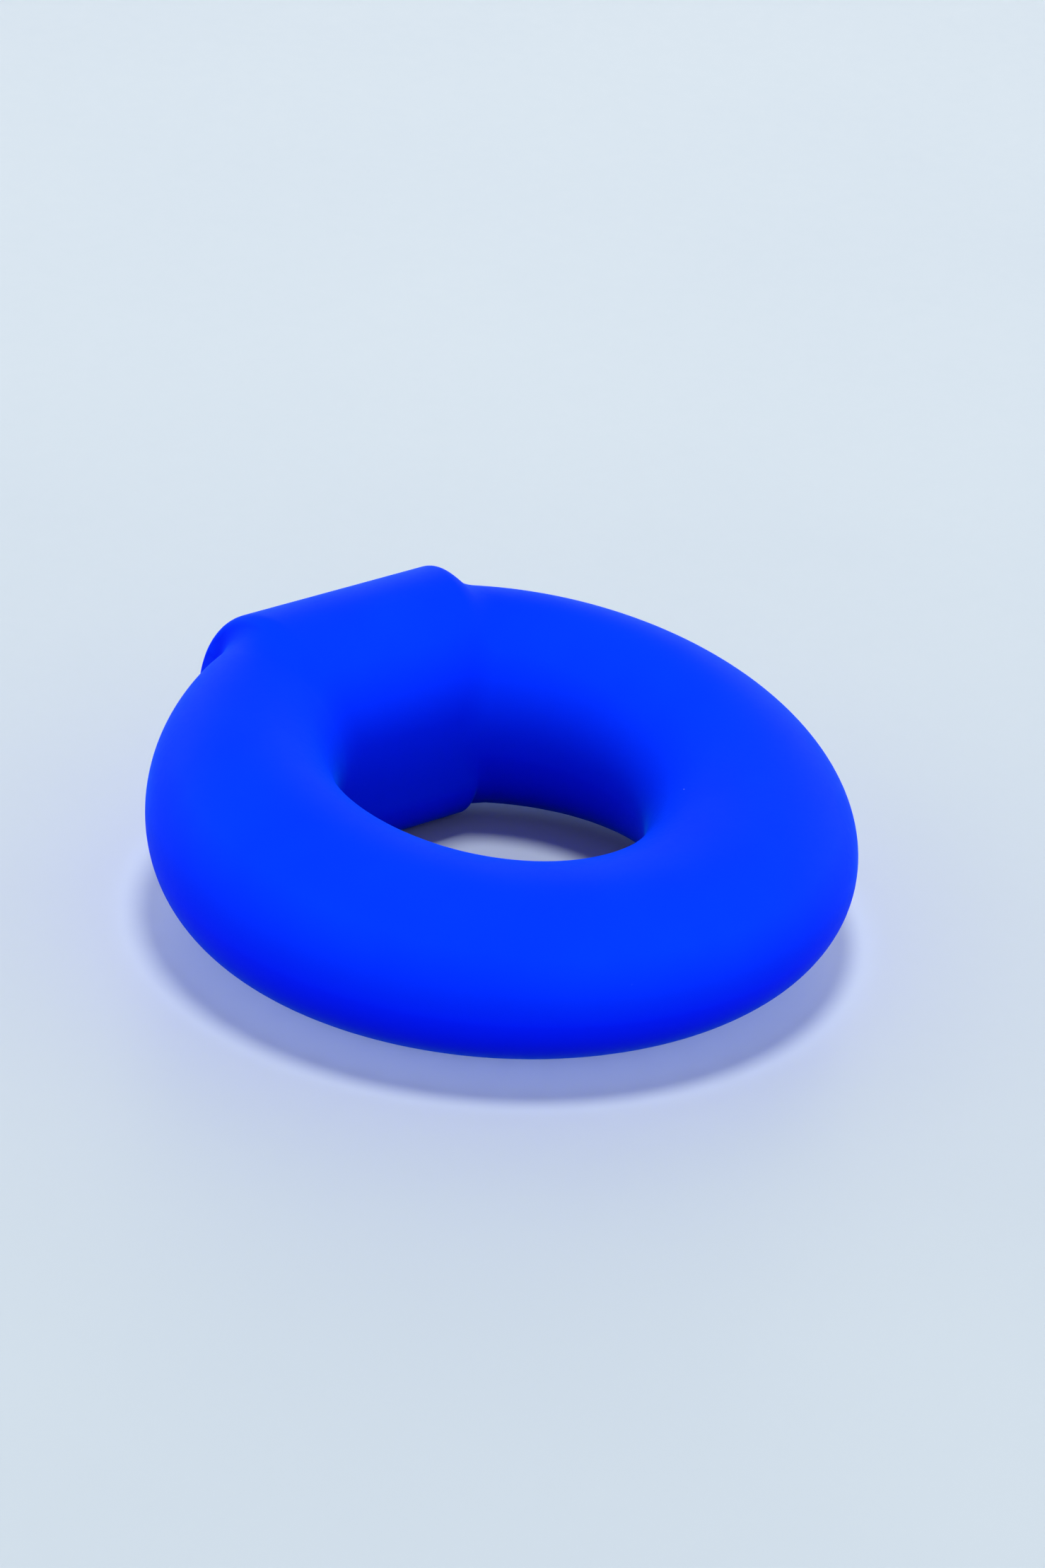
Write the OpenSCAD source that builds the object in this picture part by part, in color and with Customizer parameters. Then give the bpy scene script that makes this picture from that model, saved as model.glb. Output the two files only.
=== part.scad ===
// Stretch ring with a grip block, in soft silicone rubber.
//
// The band is a thick closed ring with an oval section. It lies on its side on the plane z = 0, and it
// grows taller and narrower from its front, at -Y, towards the block at +Y. The block is a straight bar
// with an arched top that closes the ring across its back. Its inner wall is a flat chord across the hole.
// Origin: the centre of the band's outer circle, on the plane that the ring lies on.

/* [Band] */
// Diameter of the band over its outside
outer_d = 70; // [68:0.5:74]
// Diameter of the hole
hole_d = 30.4; // [30:0.2:32]
// How far the hole sits off the band's centre, towards the block
hole_shift = 1.9; // [1.4:0.1:2.4]
// Height of the band at its front, opposite the block
front_h = 17.4; // [15:0.1:20]
// Height of the band where it runs into the block
back_h = 23.3; // [20:0.1:24]

/* [Block] */
// Distance from the band's centre to the block's inner wall
block_in = 15.2; // [14.5:0.1:16]
// Distance from the band's centre to the block's outer wall
block_out = 34.4; // [33.5:0.1:35.5]
// Height of the block at the crown of its arched top
block_h = 24.7; // [24:0.1:28]
// Rise of the oval arch, from the top of the upright walls to the crown
arch_h = 11.2; // [9:0.1:15]
// Length of the block along its inner wall
inner_len = 18.2; // [16:0.2:22]
// Length of the block along its outer wall
outer_len = 25.6; // [23:0.2:30]
// Radius of the block's two long lower edges
heel_r = 6; // [2:0.1:7]

/* [Smoothness] */
// Number of cross-sections round the band
band_steps = 84; // [48:4:96]
// Number of points on each cross-section
section_steps = 32; // [24:4:40]

/* [Hidden] */
blue = [0.0, 0.22, 0.95];
$fn = 96;
outer_r = outer_d / 2;
hole_r = hole_d / 2;
half_depth = (block_out - block_in) / 2;
block_mid = (block_in + block_out) / 2;
// How far a cutting tool runs past the faces that it cuts
clearance = 5;

// Radius of the hole's wall in the direction a, which is 0 towards the block
function hole_reach(a) = hole_shift * cos(a) + sqrt(pow(hole_r, 2) - pow(hole_shift * sin(a), 2));

// Height of the band in the direction a: a smooth wedge from front to back
function band_h(a) = (front_h + back_h) / 2 + (back_h - front_h) / 2 * cos(a);

// A point of the band: direction a round the ring, angle s round the oval section
function band_point(a, s) =
    let (
        half_w = (outer_r - hole_reach(a)) / 2,
        half_h = band_h(a) / 2,
        reach = outer_r - half_w + half_w * cos(s)
    )
    [reach * sin(a), reach * cos(a), half_h + half_h * sin(s)];

// The whole oval band, as one closed loop of cross-sections
module oval_ring() {
    points = [
        for (i = [0:band_steps - 1], j = [0:section_steps - 1])
            band_point(360 * i / band_steps, 360 * j / section_steps)
    ];
    function at(i, j) = (i % band_steps) * section_steps + j % section_steps;
    faces = [
        for (i = [0:band_steps - 1], j = [0:section_steps - 1])
            each [
                [at(i, j), at(i + 1, j), at(i + 1, j + 1)],
                [at(i, j), at(i + 1, j + 1), at(i, j + 1)]
            ]
    ];
    polyhedron(points, faces, convexity = 6);
}

// Outline of the block's cross-section: distance from the band's centre, and height
module block_section() {
    translate([block_mid, block_h - arch_h])
        scale([half_depth, arch_h])
            circle(1);
    translate([block_in, heel_r])
        square([2 * half_depth, block_h - arch_h - heel_r]);
    translate([block_in + heel_r, 0])
        square([2 * (half_depth - heel_r), 2 * heel_r]);
    for (y = [block_in + heel_r, block_out - heel_r])
        translate([y, heel_r])
            circle(heel_r);
}

// Keeps what lies between the block's two end faces, which spread outwards
module between_ends() {
    spread = (outer_len - inner_len) / (block_out - block_in);
    near_half = (inner_len - spread * clearance) / 2;
    far_half = (outer_len + spread * clearance) / 2;
    intersection() {
        translate([0, 0, -clearance])
            linear_extrude(block_h + 2 * clearance)
                polygon([
                    [-near_half, block_in - clearance], [near_half, block_in - clearance],
                    [far_half, block_out + clearance], [-far_half, block_out + clearance]
                ]);
        children();
    }
}

// Runs an outline of distance and height along X, centred, for longer than the block
module along_block() {
    run = outer_len + 4 * clearance;
    translate([-run / 2, 0, 0])
        rotate([90, 0, 90])
            linear_extrude(run)
                children();
}

// The band ends on the block's two end faces, and laps onto the edges of its inner wall
module band() {
    color(blue)
        difference() {
            oval_ring();
            between_ends()
                along_block() {
                    block_section();
                    translate([block_mid, -clearance])
                        square([half_depth + clearance, block_h + 2 * clearance]);
                }
        }
}

// The grip block: a straight bar with an arched top and a flat underside
module block() {
    color(blue)
        between_ends()
            along_block()
                block_section();
}

band();
block();
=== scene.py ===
# %% [markdown]
# # A soft stretch ring with a grip block
#
# The real thing is one lump of silicone rubber that fits in the palm. A thick ring of oval section
# lies on its side, and a short straight block with an arched top closes it across the back. There is
# nothing else on it: no seam, no screw, no print. So everything that makes it look real is in three
# places: how the two shapes flow into each other, how the skin scatters light, and how it sits.
#
# This lesson builds the skin of both members, gives it a soft-touch finish, and lights it.

# %% Load the fixed frame
import bpy
import numpy as np
from math import asin, cos, degrees, pi, radians, sin
from mathutils import Matrix, Vector


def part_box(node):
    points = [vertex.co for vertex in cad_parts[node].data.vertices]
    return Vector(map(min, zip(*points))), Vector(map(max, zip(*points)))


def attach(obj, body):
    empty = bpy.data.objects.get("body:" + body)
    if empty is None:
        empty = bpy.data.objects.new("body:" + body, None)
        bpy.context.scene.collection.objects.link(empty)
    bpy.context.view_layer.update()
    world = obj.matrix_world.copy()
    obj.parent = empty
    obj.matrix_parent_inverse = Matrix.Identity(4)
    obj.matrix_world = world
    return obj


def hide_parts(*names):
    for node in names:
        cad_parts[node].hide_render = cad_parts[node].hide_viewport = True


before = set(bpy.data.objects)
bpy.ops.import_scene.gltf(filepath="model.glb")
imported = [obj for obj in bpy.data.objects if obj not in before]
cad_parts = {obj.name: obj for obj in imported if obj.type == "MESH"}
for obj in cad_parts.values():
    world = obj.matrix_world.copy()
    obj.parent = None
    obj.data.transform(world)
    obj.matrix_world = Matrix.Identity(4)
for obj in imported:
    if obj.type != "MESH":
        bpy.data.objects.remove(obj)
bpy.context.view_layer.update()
MM = 0.001

# %% [markdown]
# ## Reading the sizes off the frame
#
# The engineering model already holds every size, so nothing is typed in twice. The band has two
# circles in plan: the outer one sits on the origin, and the hole sits a little towards the block.
# Its height is a plain wedge, low in front and tall at the block. A few corner points of the model
# are enough to get all five numbers back.

# %% Measure the band
def corner_points(node):
    return np.array([v.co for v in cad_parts[node].data.vertices], float)


def near(values, target, slack=0.3 * MM):
    return np.abs(values - target) < slack


band_points = corner_points("band")
outer_reach = band_points[:, 0].max()
front_points = band_points[near(band_points[:, 0], 0) & (band_points[:, 1] < 0)]
side_points = band_points[near(band_points[:, 1], 0) & (band_points[:, 0] > 0)]
hole_front = -front_points[:, 1].max()
hole_side = side_points[:, 0].min()
hole_shift = (hole_side ** 2 - hole_front ** 2) / (2 * hole_front)
hole_reach = hole_front + hole_shift
front_height = front_points[:, 2].max()
back_height = 2 * side_points[:, 2].max() - front_height
print(f"band: outer {outer_reach / MM:.1f}, hole {hole_reach / MM:.1f} shifted {hole_shift / MM:.1f},"
      f" height {front_height / MM:.1f} to {back_height / MM:.1f} mm")

# %% [markdown]
# The block's sizes are read in the same way. Its walls are flat, so a point belongs to a wall only
# if it lies on it almost exactly.

# %% Measure the block
ON_WALL, ON_EDGE = 0.02 * MM, 0.005 * MM
block_low, block_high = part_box("block")
block_points = corner_points("block")
inner_wall, outer_wall, crown = block_low.y, block_high.y, block_high.z
inner_half = block_points[near(block_points[:, 1], inner_wall, ON_WALL), 0].max()
outer_half = block_high.x
half_depth = (outer_wall - inner_wall) / 2
middle_wall = (inner_wall + outer_wall) / 2
heel_radius = block_points[near(block_points[:, 2], 0, ON_EDGE), 1].min() - inner_wall
spring = block_points[near(block_points[:, 1], inner_wall, ON_EDGE), 2].max()
spread = (outer_half - inner_half) / (outer_wall - inner_wall)
print(f"block: walls {inner_wall / MM:.1f} and {outer_wall / MM:.1f}, crown {crown / MM:.1f},"
      f" half length {inner_half / MM:.1f} to {outer_half / MM:.1f}, heel {heel_radius / MM:.1f},"
      f" arch from {spring / MM:.1f} mm up")

# %% [markdown]
# ## Two shapes as depths
#
# A mould maker would cut the ring and the block as one cavity and run a small ball cutter along the
# line where they meet, so the rubber comes out with a soft valley there. A boolean union would leave
# a knife-sharp valley, and a voxel remesh would leave steps in a surface that shows no texture to
# hide them.
#
# So each shape is written as a depth: a number that is negative in the rubber and positive in the
# air. The smaller of two depths is their union, and a smooth minimum is a union with a fillet.

# %% Rounded corners for depths
def ease(x):
    x = np.clip(x, 0, 1)
    return x * x * (3 - 2 * x)


def soft_union(a, b, fillet):
    mix = np.clip(0.5 + 0.5 * (b - a) / fillet, 0, 1)
    return b * (1 - mix) + a * mix - fillet * mix * (1 - mix)


def soft_common(a, b, rounding):
    return -soft_union(-a, -b, rounding)


print("a 4 mm fillet lowers the depth in the crease by", float(-soft_union(0.0, 0.0, 4.0)), "mm")

# %% [markdown]
# The band is an oval carried round the ring. It narrows a little into a neck where it runs into the
# block, which makes the notch beside the block's end a bit deeper. Most of the neck is buried in the
# block, and it has faded out a short way past the end.

# %% Depth of the oval band
NECK = 2.0 * MM
NECK_ENDS = (radians(12), radians(30))      # full up to the first turn, gone at the second


def band_middle(turn):
    hole = hole_shift * np.cos(turn) + np.sqrt(hole_reach ** 2 - (hole_shift * np.sin(turn)) ** 2)
    return (outer_reach + hole) / 2, (outer_reach - hole) / 2


def band_half_height(turn):
    return ((front_height + back_height) + (back_height - front_height) * np.cos(turn)) / 4


def band_depth(x, y, z):
    turn = np.arctan2(x, y)
    middle, half_width = band_middle(turn)
    neck = NECK * (1 - ease((np.abs(turn) - NECK_ENDS[0]) / (NECK_ENDS[1] - NECK_ENDS[0])))
    middle, half_width = middle - neck / 2, half_width - neck / 2
    half_height = band_half_height(turn)
    oval = np.hypot((np.hypot(x, y) - middle) / half_width, (z - half_height) / half_height)
    return (oval - 1) * np.minimum(half_width, half_height)


print(f"the band is {2 * band_middle(pi)[1] / MM:.1f} mm wide in front"
      f" and {2 * band_middle(pi / 2)[1] / MM:.1f} mm at the sides")

# %% [markdown]
# The block is a bar with upright walls, a half-oval arch on top and round heels below. Its two ends
# slant, so it is longer at the outer wall. The ends and the bar have their own depths, because the
# fillets further down treat them differently.

# %% Depth of the arched block
END_ROUNDING = 0.8 * MM


def section_depth(y, z):
    oval = np.hypot((y - middle_wall) / half_depth, (z - spring) / (crown - spring))
    arch = (oval - 1) * half_depth
    over_y = np.abs(y - middle_wall) - half_depth + heel_radius
    over_z = heel_radius - z
    flat = np.minimum(np.maximum(over_y, over_z), 0)
    wall = flat + np.hypot(np.maximum(over_y, 0), np.maximum(over_z, 0)) - heel_radius
    return np.where(z > spring, arch, wall)


def ends_depth(x, y):
    return np.abs(x) - inner_half - spread * (y - inner_wall)


def block_depth(x, y, z):
    return soft_common(section_depth(y, z), ends_depth(x, y), END_ROUNDING)


print("depth at the foot of the arch:", round(float(block_depth(0, middle_wall, spring)) / MM, 1), "mm")

# %% [markdown]
# ## Joining the two
#
# There are two fillets. The one along the block's ends is tight low down and opens out towards the
# top, where the real valley is wide. A smooth union of the whole band with the whole block would also
# lift the arch above its true height, so this fillet is made first and then cut to the block's own
# section. The second one is small, joins the walls inside the hole, and fades out beyond the ends.

# %% Depth of the whole moulding
END_FILLET_LOW, END_FILLET_HIGH = 0.8 * MM, 3.6 * MM
FILLET_GROWS = (15 * MM, 23 * MM)     # heights over which the end fillet opens out
WALL_FILLET = 0.7 * MM
WALL_FILLET_LEAST = 0.001 * MM        # never quite nothing, because it divides
WALL_FILLET_FADES = 4.0 * MM          # it is gone this far outside the end faces


def skin_depth(x, y, z):
    band, section, ends = band_depth(x, y, z), section_depth(y, z), ends_depth(x, y)
    opening = ease((z - FILLET_GROWS[0]) / (FILLET_GROWS[1] - FILLET_GROWS[0]))
    end_fillet = END_FILLET_LOW + (END_FILLET_HIGH - END_FILLET_LOW) * opening
    block = soft_common(section, soft_union(band, ends, end_fillet), END_ROUNDING)
    wall_fillet = np.maximum(WALL_FILLET * (1 - ease(ends / WALL_FILLET_FADES)), WALL_FILLET_LEAST)
    return np.maximum(soft_union(band, block, wall_fillet), -z)


print("depth at the middle of the block:", round(float(skin_depth(0, 0.025, 0.012)) / MM, 2), "mm")

# %% [markdown]
# ## Spokes round the ring
#
# To turn a depth into a mesh, I walk outwards from the middle of the rubber until the depth changes
# sign. The walks are laid out like a wheel: spokes in plan, and rays round each spoke's section. The
# grid follows the ring, so every face is a clean four-sided one that runs with the shape.
#
# Plain spokes from the centre would cross the block's slanted end faces at an angle. So near the
# block the hub slides back to the point where both end faces would meet, and the spokes there lie
# flat against them.

# %% Spokes and rays
HUB_BACK = inner_half / spread - inner_wall
HUB_LEAVES, HUB_HOME = radians(30), radians(85)
WALK_FROM, WALK_TO, WALK_STEPS = 2 * MM, 24 * MM, 34


def spoke(turn):
    middle, _ = band_middle(turn)
    at_x, at_y = middle * np.sin(turn), middle * np.cos(turn)
    back = HUB_BACK * (1 - ease((np.abs(turn) - HUB_LEAVES) / (HUB_HOME - HUB_LEAVES)))
    length = np.hypot(at_x, at_y + back)
    return at_x, at_y, at_x / length, (at_y + back) / length


def walk(turn, around):
    """Points of the skin, for arrays of turn round the ring and angle round the section."""
    at_x, at_y, out_x, out_y = spoke(turn)
    at_z = band_half_height(turn)
    step_x, step_y, step_z = out_x * np.cos(around), out_y * np.cos(around), np.sin(around)
    inside = np.full(step_x.shape, WALK_FROM)
    outside = np.full(step_x.shape, WALK_TO)
    for _ in range(WALK_STEPS):
        reach = (inside + outside) / 2
        air = skin_depth(at_x + step_x * reach, at_y + step_y * reach, at_z + step_z * reach) > 0
        outside = np.where(air, reach, outside)
        inside = np.where(air, inside, reach)
    reach = (inside + outside) / 2
    return np.stack([at_x + step_x * reach, at_y + step_y * reach, at_z + step_z * reach], -1)


front_tip = walk(np.array([pi]), np.array([0.0]))[0]
print("the walk straight out in front ends at", [round(float(v) / MM, 1) for v in front_tip], "mm")

# %% [markdown]
# ## The crease
#
# The band and the block stay two separate pieces, as they are in the engineering model, and they
# meet along the valley between them. For each ray I look for the turn at which the block stops being
# the nearer shape. That line is where one mesh ends and the other starts, so both have the very same
# points there.

# %% Find the crease
RAYS = 168
around = np.linspace(0, 2 * pi, RAYS, endpoint=False)
BLOCK_FIRST = 0.04 * MM    # settles the tie on the underside, where both lie on the table
SEARCH_FROM, SEARCH_TO, SEARCH_STATIONS = radians(8), radians(40), 260
SMOOTHING_PASSES = 6


def crease_turns():
    turns = np.linspace(SEARCH_FROM, SEARCH_TO, SEARCH_STATIONS)
    grid_turn, grid_around = np.meshgrid(turns, around, indexing="ij")
    x, y, z = np.moveaxis(walk(grid_turn, grid_around), -1, 0)
    block_is_nearer = block_depth(x, y, z) - BLOCK_FIRST < band_depth(x, y, z)
    last = len(turns) - 1 - np.argmax(block_is_nearer[::-1], axis=0)
    found = turns[last]
    for _ in range(SMOOTHING_PASSES):
        found = (np.roll(found, 1) + 2 * found + np.roll(found, -1)) / 4
    return found


crease = crease_turns()
print(f"the crease runs from {np.degrees(crease.min()):.1f} to {np.degrees(crease.max()):.1f} degrees")

# %% [markdown]
# Stations are rows of points across the tube. They are packed close next to the crease, where the
# fillets bend quickly, and they spread out along the plain stretches.

# %% Spacing along each piece
FINEST = 0.16              # degrees between the stations next to the crease


def spaced(first, largest, growth, total):
    """Shares from 0 to 1, close together at both ends and wider between them."""
    half, steps, step = 0.0, [], first
    while half < total / 2:
        steps.append(step)
        half += step
        step = min(step * growth, largest)
    shares = np.concatenate([[0], np.cumsum(steps + steps[::-1])])
    return shares / shares[-1]


block_arc = 2 * np.degrees(crease.mean())
block_shares = spaced(FINEST, largest=0.7, growth=1.08, total=block_arc)
band_shares = spaced(FINEST, largest=1.0, growth=1.06, total=360 - block_arc)
print("stations along the block:", len(block_shares), "and along the band:", len(band_shares))

# %% [markdown]
# ## From grid to closed solid
#
# Each piece is a tube of four-sided faces with its two ends closed by a fan. The fans lie inside the
# rubber, one against the other. Fans are fine there, because nobody sees them.

# %% Faces of a tube
def tube_faces(stations, points):
    """The four-sided faces of a tube, and the two fans round its hubs, points and points + 1."""
    row = np.arange(stations - 1)[:, None] * RAYS
    here = np.arange(RAYS)[None, :]
    beside = (here + 1) % RAYS
    quads = np.stack([row + here, row + beside, row + RAYS + beside, row + RAYS + here], -1)
    last_row = (stations - 1) * RAYS
    fans = [(points, (j + 1) % RAYS, j) for j in range(RAYS)]
    fans += [(points + 1, last_row + j, last_row + (j + 1) % RAYS) for j in range(RAYS)]
    return quads.reshape(-1, 4).tolist(), fans


print("a tube of two stations has", len(tube_faces(2, 2 * RAYS)[0]), "four-sided faces")

# %% [markdown]
# The shading normals come straight from the depth's own slope, so light runs over the crease without
# a break, however fine or coarse the grid is. Smooth shading by itself would show the seam, because
# each piece would only average its own faces there.

# %% Normals
def slope(points, h=0.02 * MM):
    x, y, z = points.T
    rise = np.stack([skin_depth(x + h, y, z) - skin_depth(x - h, y, z),
                     skin_depth(x, y + h, z) - skin_depth(x, y - h, z),
                     skin_depth(x, y, z + h) - skin_depth(x, y, z - h)], -1)
    return rise / np.maximum(np.linalg.norm(rise, axis=1, keepdims=True), 1e-12)


def shade_by_slope(mesh, points, fan_start):
    """Normals from the depth's slope on the skin, and flat ones on the hidden fans."""
    mesh.shade_smooth()
    corners = np.empty(len(mesh.loops), int)
    mesh.loops.foreach_get("vertex_index", corners)
    normals = slope(points)[corners]
    for face in mesh.polygons[fan_start:]:
        face.use_smooth = False
        for corner in face.loop_indices:
            normals[corner] = face.normal
    mesh.normals_split_custom_set(normals.tolist())


print("the skin's direction at the front tip:", [round(float(v), 2) for v in slope(front_tip[None, :])[0]])

# %% [markdown]
# The block runs from one crease to the other across the back, and the band runs the long way round.

# %% Build both pieces
def tube_piece(name, first, last, shares):
    """A closed mesh between two creases, given as the turn of each ray at its first and last station."""
    turn = first[None, :] + (last - first)[None, :] * shares[:, None]
    rays = np.broadcast_to(around, turn.shape)
    skin = walk((turn + pi) % (2 * pi) - pi, rays).reshape(-1, 3)
    points = np.vstack([skin, skin[:RAYS].mean(0), skin[-RAYS:].mean(0)])
    quads, fans = tube_faces(len(shares), len(skin))
    mesh = bpy.data.meshes.new(name)
    mesh.from_pydata(points.tolist(), [], quads + fans)
    mesh.validate()
    shade_by_slope(mesh, points, len(quads))
    piece = bpy.data.objects.new(name, mesh)
    bpy.context.scene.collection.objects.link(piece)
    print(f"{name}: {len(mesh.vertices)} points, {len(mesh.polygons)} faces")
    return piece


block_skin = tube_piece("block_skin", -crease, crease, block_shares)
band_skin = tube_piece("band_skin", crease, 2 * pi - crease, band_shares)

# %% [markdown]
# ## Soft-touch silicone: colour, with painted light and shade
#
# Pigmented silicone is one strong, even colour right through. But a strong blue looks a little
# greener as well as brighter where it is lit, and one colour under white lamps can't do that. So
# light and shade are painted into the colour: painted light makes faces that look up paler, and
# painted shade makes faces that look down deeper. It is a painter's trick, and not something that
# the rubber does. A slow cloud shifts the painted light's colour a little, as handling would.
#
# A few helpers come first, because the table needs them too.

# %% Node helpers
def node(tree, kind, **settings):
    made = tree.nodes.new(kind)
    for key, value in settings.items():
        if key in made.inputs:
            made.inputs[key].default_value = value
        else:
            setattr(made, key, value)
    return made


def noise(tree, place, scale, detail=4.0, roughness=0.55):
    made = node(tree, "ShaderNodeTexNoise", Scale=scale, Detail=detail, Roughness=roughness)
    tree.links.new(place, made.inputs["Vector"])
    return made.outputs["Fac"]


def remap(tree, value, low, high, to_low, to_high):
    made = node(tree, "ShaderNodeMapRange")
    for name, number in zip(("From Min", "From Max", "To Min", "To Max"), (low, high, to_low, to_high)):
        made.inputs[name].default_value = number
    tree.links.new(value, made.inputs["Value"])
    return made.outputs["Result"]


def mix_colours(tree, factor, a, b):
    """A mix of two colours, each a tuple or another node's output."""
    made = node(tree, "ShaderNodeMix", data_type="RGBA")
    tree.links.new(factor, made.inputs["Factor"])
    for name, colour in (("A", a), ("B", b)):
        if isinstance(colour, tuple):
            made.inputs[name].default_value = (*colour, 1)
        else:
            tree.links.new(colour, made.inputs[name])
    return made.outputs["Result"]


# %% The pigment, with painted light and shade
# Painted shade for skin that faces down, the plain side colour, and two colours of painted light for skin
# that faces up.
COBALT_PAINTED_SHADE = (0.0001, 0.0005, 0.50)
COBALT = (0.0002, 0.009, 0.80)
COBALT_PAINTED_LIGHT = (0.0010, 0.041, 1.0)
COBALT_PAINTED_LIGHT_DEEP = (0.0008, 0.035, 0.96)
PAINTED_LIGHT_LEAN = (-0.20, 0.65)      # upward part of the skin's direction: paler from the first to the second
PAINTED_SHADE_LEAN = (-0.15, -0.75)    # and deeper from the first to the second
CLOUD_SCALE = 60


def pigment_with_painted_light(tree, place):
    # Painted light and shade: the colour follows which way the skin faces, not the rubber.
    facing = node(tree, "ShaderNodeSeparateXYZ")
    tree.links.new(tree.nodes.new("ShaderNodeNewGeometry").outputs["Normal"], facing.inputs["Vector"])
    cloud = remap(tree, noise(tree, place, CLOUD_SCALE, 3), 0.3, 0.7, 0, 1)
    top = mix_colours(tree, cloud, COBALT_PAINTED_LIGHT, COBALT_PAINTED_LIGHT_DEEP)
    side = mix_colours(tree, remap(tree, facing.outputs["Z"], *PAINTED_SHADE_LEAN, 0, 1), COBALT, COBALT_PAINTED_SHADE)
    return mix_colours(tree, remap(tree, facing.outputs["Z"], *PAINTED_LIGHT_LEAN, 0, 1), side, top)


print(f"palest where the skin leans up by {degrees(asin(PAINTED_LIGHT_LEAN[1])):.0f} degrees or more,"
      f" deepest where it leans down by {degrees(asin(-PAINTED_SHADE_LEAN[1])):.0f} or more")

# %% [markdown]
# ## Dust
#
# Silicone is slightly tacky and always carries a few specks. A cell pattern gives every cell one
# possible speck. A draw for each cell then keeps one in ten of them, and the skin only cuts through
# some of those, so the specks stay rare and have no pattern.

# %% Specks
SPECK_CELLS = 300          # cells in a metre
SPECK_RADIUS = 0.028       # as a share of a cell
SPECK_DRAW = 0.90
SPECK_COLOUR = (0.35, 0.50, 0.75)


def math_node(tree, operation, a, b):
    made = node(tree, "ShaderNodeMath", operation=operation)
    for socket, value in zip(made.inputs, (a, b)):
        if isinstance(value, (int, float)):
            socket.default_value = value
        else:
            tree.links.new(value, socket)
    return made.outputs[0]


def specks(tree, place):
    cells = node(tree, "ShaderNodeTexVoronoi", Scale=SPECK_CELLS)
    tree.links.new(place, cells.inputs["Vector"])
    draw = node(tree, "ShaderNodeSeparateColor")
    tree.links.new(cells.outputs["Color"], draw.inputs["Color"])
    small = math_node(tree, "LESS_THAN", cells.outputs["Distance"], SPECK_RADIUS)
    kept = math_node(tree, "GREATER_THAN", draw.outputs["Red"], SPECK_DRAW)
    return mix_colours(tree, math_node(tree, "MULTIPLY", small, kept), (0, 0, 0), SPECK_COLOUR)


print(f"a speck is at most {2 * SPECK_RADIUS / SPECK_CELLS / MM:.2f} mm across")

# %% [markdown]
# ## Soft-touch silicone: finish
#
# The mould is lightly blasted, so the skin is matt. It has fine pores and a finer grain, no hard
# highlight, and a faint bloom where it is seen edge-on. Handling leaves some patches a little duller
# than others. Pores and grain are too fine to be worth modelling, so they are a bump. The bloom is
# the shader's sheen, in a paler blue. The specular level is almost nothing, which is less than real
# rubber has, because a white gloss would wash out the blue.

# %% The finish
PORE_SCALE, GRAIN_SCALE, PATCH_SCALE = 1500, 5200, 110
GRAIN_SHARE = 0.6
BUMP_HEIGHT = 0.04 * MM


def finish(tree, place, shader):
    pores = noise(tree, place, PORE_SCALE, 3)
    grain = noise(tree, place, GRAIN_SCALE, 2, 0.6)
    patches = remap(tree, noise(tree, place, PATCH_SCALE, 4), 0.35, 0.7, 0.0, 0.06)
    rough = math_node(tree, "ADD", remap(tree, pores, 0.3, 0.7, 0.50, 0.58), patches)
    tree.links.new(rough, shader.inputs["Roughness"])
    height = math_node(tree, "ADD", math_node(tree, "MULTIPLY", grain, GRAIN_SHARE), pores)
    bump = node(tree, "ShaderNodeBump", Strength=0.25, Distance=BUMP_HEIGHT)
    tree.links.new(height, bump.inputs["Height"])
    tree.links.new(bump.outputs["Normal"], shader.inputs["Normal"])
    shader.inputs["IOR"].default_value = 1.41
    shader.inputs["Specular IOR Level"].default_value = 0.012
    shader.inputs["Specular Tint"].default_value = (0.02, 0.45, 1.0, 1.0)
    shader.inputs["Sheen Weight"].default_value = 0.14
    shader.inputs["Sheen Roughness"].default_value = 0.30
    shader.inputs["Sheen Tint"].default_value = (0.002, 0.50, 0.95, 1.0)


print(f"pores about {1 / PORE_SCALE / MM:.1f} mm across and grain about {1 / GRAIN_SCALE / MM:.1f} mm")

# %% [markdown]
# ## The rubber on both pieces
#
# Both pieces are the same rubber, so one function makes both materials. They stay two slots, so that
# either piece can be recoloured by itself.

# %% The silicone
def procedural(name):
    """A new material, with its node tree, its shader and the place on the object."""
    material = bpy.data.materials.new(name)
    material.use_nodes = True
    tree = material.node_tree
    place = tree.nodes.new("ShaderNodeTexCoord").outputs["Object"]
    return material, tree, tree.nodes["Principled BSDF"], place


def soft_silicone(name):
    material, tree, shader, place = procedural(name)
    dusty = node(tree, "ShaderNodeMix", data_type="RGBA", blend_type="ADD")
    dusty.inputs["Factor"].default_value = 1
    # The base colour carries painted light and shade, with the dust added on top.
    tree.links.new(pigment_with_painted_light(tree, place), dusty.inputs["A"])
    tree.links.new(specks(tree, place), dusty.inputs["B"])
    tree.links.new(dusty.outputs["Result"], shader.inputs["Base Color"])
    finish(tree, place, shader)
    return material


for piece, cad_node, slot in ((band_skin, "band", "band_rubber"), (block_skin, "block", "block_rubber")):
    piece.data.materials.append(soft_silicone(slot))
    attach(piece, "root")
    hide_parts(cad_node)
    print(piece.name, "stands for", cad_node)

# %% [markdown]
# ## Table top
#
# The ring lies on a pale, faintly blue sheet with a low gloss. The sheet returns a wide, weak echo of
# the ring below its front edge. A plain square far larger than the view is enough, with a slow drift
# in its colour and a finer one in its roughness.

# %% Table
SHEET_HALF = 1.6
SHEET_PALE, SHEET_DEEP = (0.585, 0.670, 0.745), (0.570, 0.655, 0.735)


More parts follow.
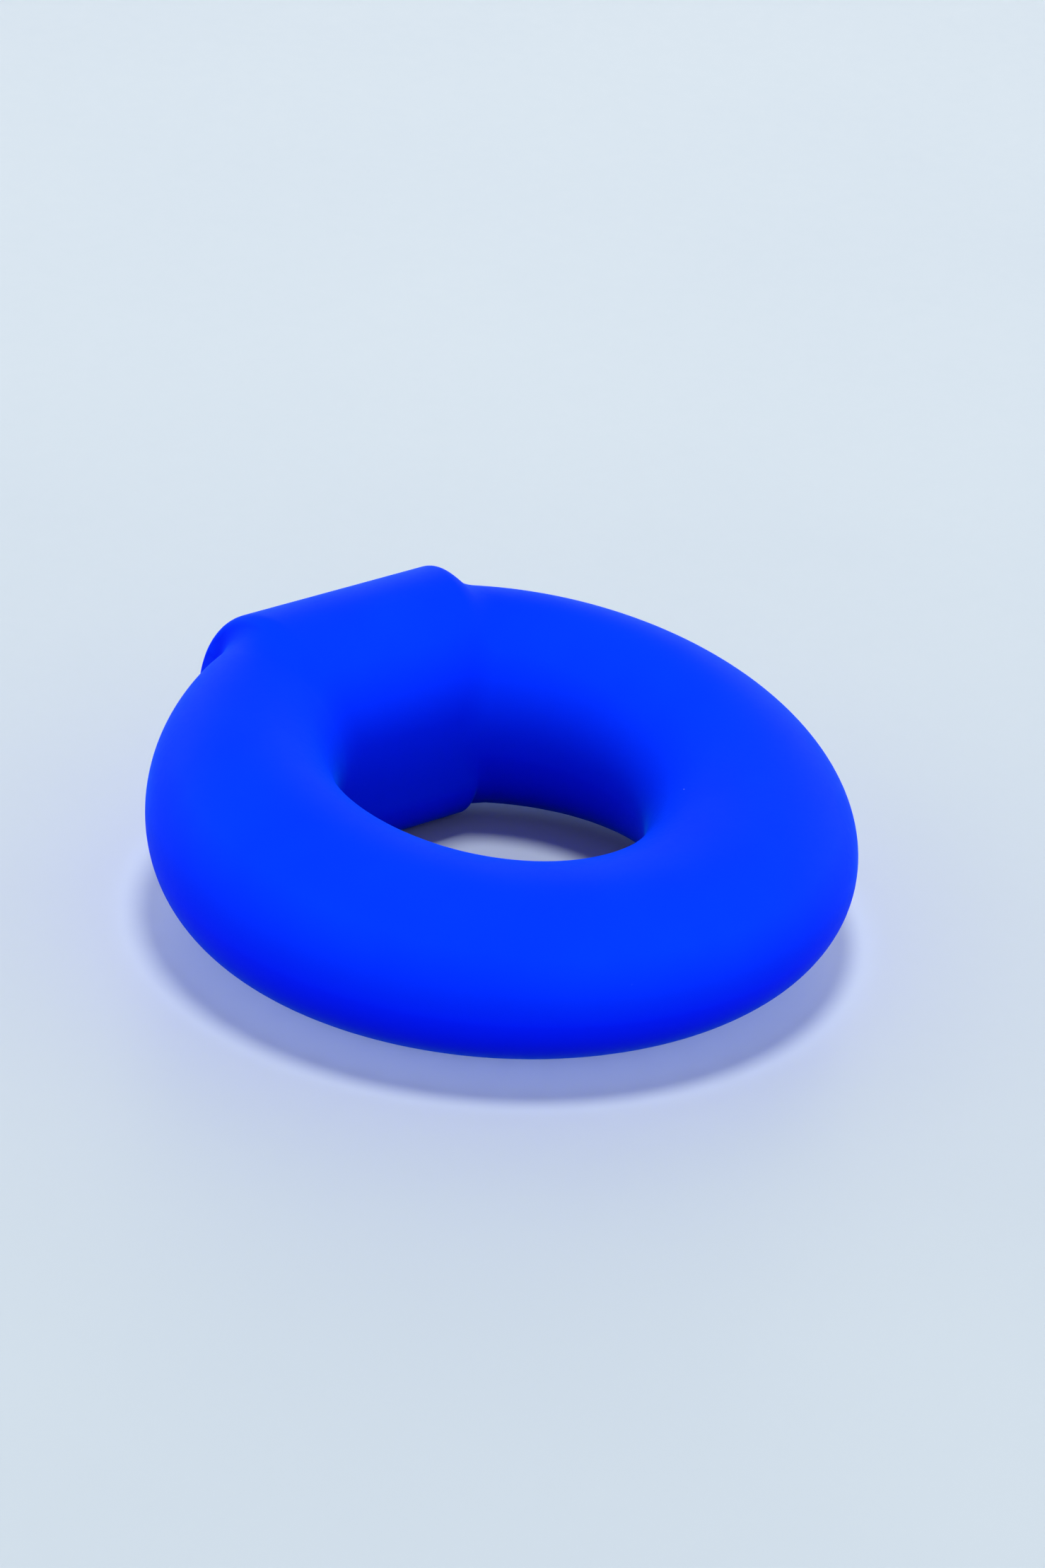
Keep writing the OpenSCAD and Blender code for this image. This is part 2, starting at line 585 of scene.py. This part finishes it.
def table_top():
    corners = [(x * SHEET_HALF, y * SHEET_HALF, 0) for x, y in ((-1, -1), (1, -1), (1, 1), (-1, 1))]
    mesh = bpy.data.meshes.new("table_top")
    mesh.from_pydata(corners, [], [(0, 1, 2, 3)])
    floor = bpy.data.objects.new("table_top", mesh)
    bpy.context.scene.collection.objects.link(floor)
    material, tree, shader, place = procedural("pale_sheet")
    drift = remap(tree, noise(tree, place, 14, 3), 0.3, 0.7, 0, 1)
    tree.links.new(mix_colours(tree, drift, SHEET_PALE, SHEET_DEEP), shader.inputs["Base Color"])
    rough = remap(tree, noise(tree, place, 400, 3), 0.3, 0.7, 0.38, 0.46)
    tree.links.new(rough, shader.inputs["Roughness"])
    shader.inputs["Specular IOR Level"].default_value = 0.4
    mesh.materials.append(material)
    return floor


sheet = table_top()
print("the sheet is", 2 * SHEET_HALF, "m square")

# %% [markdown]
# ## Light from overhead
#
# The set is an overcast room in small. One soft lamp almost straight overhead makes the lit patch
# inside the hole and the shadow under the rim.

# %% Overhead lamp
def soft_box(name, place, size, power):
    """A round lamp that points at the origin."""
    data = bpy.data.lights.new(name, "AREA")
    data.shape = "DISK"
    data.size = size
    data.energy = power
    lamp = bpy.data.objects.new(name, data)
    lamp.location = place
    lamp.rotation_euler = (-Vector(place)).to_track_quat("-Z", "Y").to_euler()
    bpy.context.scene.collection.objects.link(lamp)
    print(name, "lamp:", size, "m across and", place[2], "m up")


soft_box("overhead", (0.05, 0.06, 1.2), 0.34, 8.4)

# %% [markdown]
# ## Glow under the rim
#
# Light that bounces off the ring's lower side lands on the table as a blue glow. Bounced light alone
# is too weak here, so a ring of small lamps stands in for the rest of it. They cast no shadow, and
# they light the sheet and nothing else.

# %% Glow
GLOW_COUNT, GLOW_RING, GLOW_REACH, GLOW_HEIGHT = 40, 30 * MM, 9.5 * MM, 0.30
GLOW_POWER, GLOW_COLOUR = 0.48, (0.50, 0.62, 1.0)


def under_glow():
    only_sheet = bpy.data.collections.new("sheet_only")
    only_sheet.objects.link(sheet)
    for i in range(GLOW_COUNT):
        turn = 2 * pi * i / GLOW_COUNT
        data = bpy.data.lights.new(f"glow_{i}", "SPOT")
        data.energy = GLOW_POWER
        data.color = GLOW_COLOUR
        data.spot_size = 2 * np.arctan(GLOW_REACH / GLOW_HEIGHT)
        data.spot_blend = 1.0
        data.use_shadow = False
        lamp = bpy.data.objects.new(f"glow_{i}", data)
        lamp.location = (GLOW_RING * sin(turn), GLOW_RING * cos(turn), GLOW_HEIGHT)
        lamp.light_linking.receiver_collection = only_sheet
        bpy.context.scene.collection.objects.link(lamp)


under_glow()
print(GLOW_COUNT, "glow lamps on a ring of", round(GLOW_RING / MM), "mm")

# %% [markdown]
# ## Pale tent
#
# A pale tent all round lights the sides. It is brightest near the table and dim overhead, so the rim
# of the ring stays bright and the well of the hole goes dark. A ramp over height is all it takes.

# %% Tent
TENT = ((0.00, 3.00), (0.20, 2.80), (0.36, 0.85), (0.60, 0.65), (0.72, 0.12), (1.00, 0.12))
TENT_TINT = (0.97, 0.985, 1.0)


def tent():
    world = bpy.data.worlds.new("studio")
    bpy.context.scene.world = world
    world.use_nodes = True
    tree = world.node_tree
    place = tree.nodes.new("ShaderNodeTexCoord").outputs["Generated"]
    split = node(tree, "ShaderNodeSeparateXYZ")
    tree.links.new(place, split.inputs["Vector"])
    curve = node(tree, "ShaderNodeValToRGB")
    stops = curve.color_ramp.elements
    for _ in range(len(TENT) - 2):
        stops.new(0.5)
    for stop, (height, light) in zip(stops, TENT):
        stop.position = height
        stop.color = (*(light * share for share in TENT_TINT), 1)
    tree.links.new(split.outputs["Z"], curve.inputs["Fac"])
    tree.links.new(curve.outputs["Color"], tree.nodes["Background"].inputs["Color"])
    tree.nodes["Background"].inputs["Strength"].default_value = 1.0


tent()
print("tent light at the table and overhead:", TENT[0][1], "and", TENT[-1][1])

# %% [markdown]
# ## Camera
#
# A long lens keeps the ring from looking stretched. The camera stands in front and to the left, looks
# down at about 28 degrees, and is tipped a few degrees, as a camera held by hand often is.

# %% Camera
AZIMUTH, ELEVATION, ROLL = radians(-39.5), radians(27.65), radians(4.2)
DISTANCE = 0.600
LENS, FRAME_LONG = 140.66, 36            # both in millimetres
AIM = Vector((0, 0, 0.010))
ASIDE, ABOVE = 1.97 * MM, 4.28 * MM      # how far the camera is moved off the aim, in its own plane


def add_camera():
    back = Vector((sin(AZIMUTH) * cos(ELEVATION), -cos(AZIMUTH) * cos(ELEVATION), sin(ELEVATION)))
    level = Vector((cos(AZIMUTH), sin(AZIMUTH), 0))
    upright = back.cross(level)
    right = cos(ROLL) * level + sin(ROLL) * upright
    up = cos(ROLL) * upright - sin(ROLL) * level
    place = AIM + back * DISTANCE + right * ASIDE + up * ABOVE
    data = bpy.data.cameras.new("camera")
    data.sensor_fit = "AUTO"
    data.sensor_width = FRAME_LONG
    data.lens = LENS
    data.clip_start, data.clip_end = 0.01, 20
    camera = bpy.data.objects.new("camera", data)
    camera.matrix_world = Matrix((
        (right.x, up.x, back.x, place.x), (right.y, up.y, back.y, place.y),
        (right.z, up.z, back.z, place.z), (0, 0, 0, 1)))
    bpy.context.scene.collection.objects.link(camera)
    bpy.context.scene.camera = camera
    print("lens", round(data.lens, 1), "mm, camera at", [round(v, 3) for v in place])


add_camera()
bpy.context.scene.view_settings.view_transform = "Standard"
